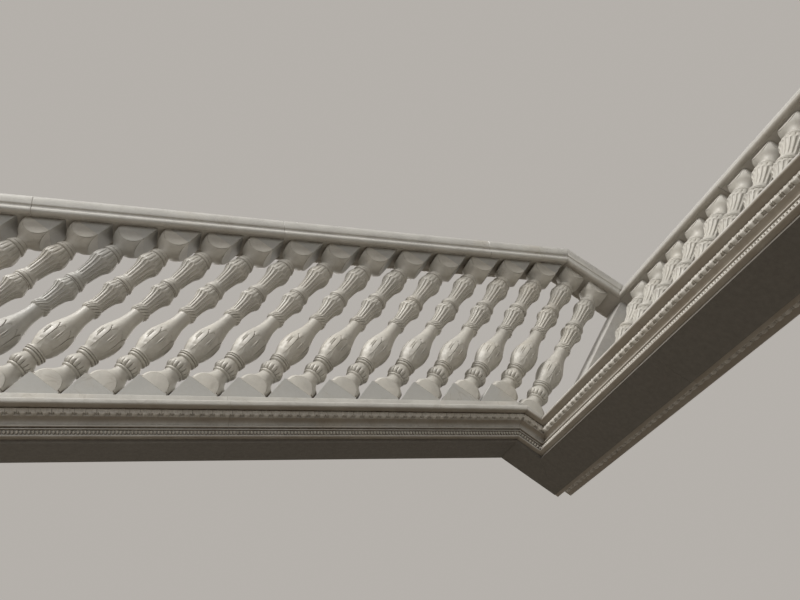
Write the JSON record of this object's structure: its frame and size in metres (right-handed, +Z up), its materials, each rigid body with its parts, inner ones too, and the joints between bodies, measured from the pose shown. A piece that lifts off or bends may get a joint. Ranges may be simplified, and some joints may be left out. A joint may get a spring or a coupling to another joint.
{
  "type": "stone stair and gallery balustrade",
  "caption": "Carved marble balustrade: a raked stair flight of fluted vase balusters that turns at a square pier into a level gallery run.",
  "frame": {"origin": "on the flat underside of the gallery's first plinth stone, on the gallery's centre line", "axes": "+X along the flight towards the corner pier, +Y away from the open stairwell, from the gallery towards the pier, +Z up"},
  "size_m": [2.8792, 1.553, 3.0311],
  "materials": {
    "baluster_marble": "honed, carved, veined marble with grey grime in the hollows",
    "pier_marble": "smooth honed marble",
    "rail_marble": "polished marble",
    "plinth_marble": "honed marble with carved leaf and bead courses"
  },
  "bodies": {
    "root": {"flight_baluster_01": "baluster_marble", "flight_baluster_02": "baluster_marble", "flight_baluster_03": "baluster_marble", "flight_baluster_04": "baluster_marble", "flight_baluster_05": "baluster_marble", "flight_baluster_06": "baluster_marble", "flight_baluster_07": "baluster_marble", "flight_baluster_08": "baluster_marble", "flight_baluster_09": "baluster_marble", "flight_baluster_10": "baluster_marble", "flight_baluster_11": "baluster_marble", "flight_baluster_12": "baluster_marble", "flight_baluster_13": "baluster_marble", "flight_baluster_14": "baluster_marble", "flight_baluster_15": "baluster_marble", "flight_baluster_16": "baluster_marble", "flight_baluster_17": "baluster_marble", "flight_baluster_18": "baluster_marble", "flight_baluster_19": "baluster_marble", "flight_baluster_20": "baluster_marble", "landing_baluster": "baluster_marble", "corner_pier": "pier_marble", "gallery_baluster_01": "baluster_marble", "gallery_baluster_02": "baluster_marble", "gallery_baluster_03": "baluster_marble", "gallery_baluster_04": "baluster_marble", "gallery_baluster_05": "baluster_marble", "gallery_baluster_06": "baluster_marble", "gallery_baluster_07": "baluster_marble", "gallery_baluster_08": "baluster_marble", "gallery_baluster_09": "baluster_marble", "gallery_baluster_10": "baluster_marble", "flight_rail_1": "rail_marble", "flight_rail_2": "rail_marble", "flight_rail_3": "rail_marble", "flight_rail_4": "rail_marble", "landing_rail": "rail_marble", "gallery_rail_1": "rail_marble", "gallery_rail_2": "rail_marble", "flight_plinth_1": "plinth_marble", "flight_plinth_2": "plinth_marble", "flight_plinth_3": "plinth_marble", "landing_plinth": "plinth_marble", "gallery_plinth_1": "plinth_marble", "gallery_plinth_2": "plinth_marble"}
  },
  "joints": []
}
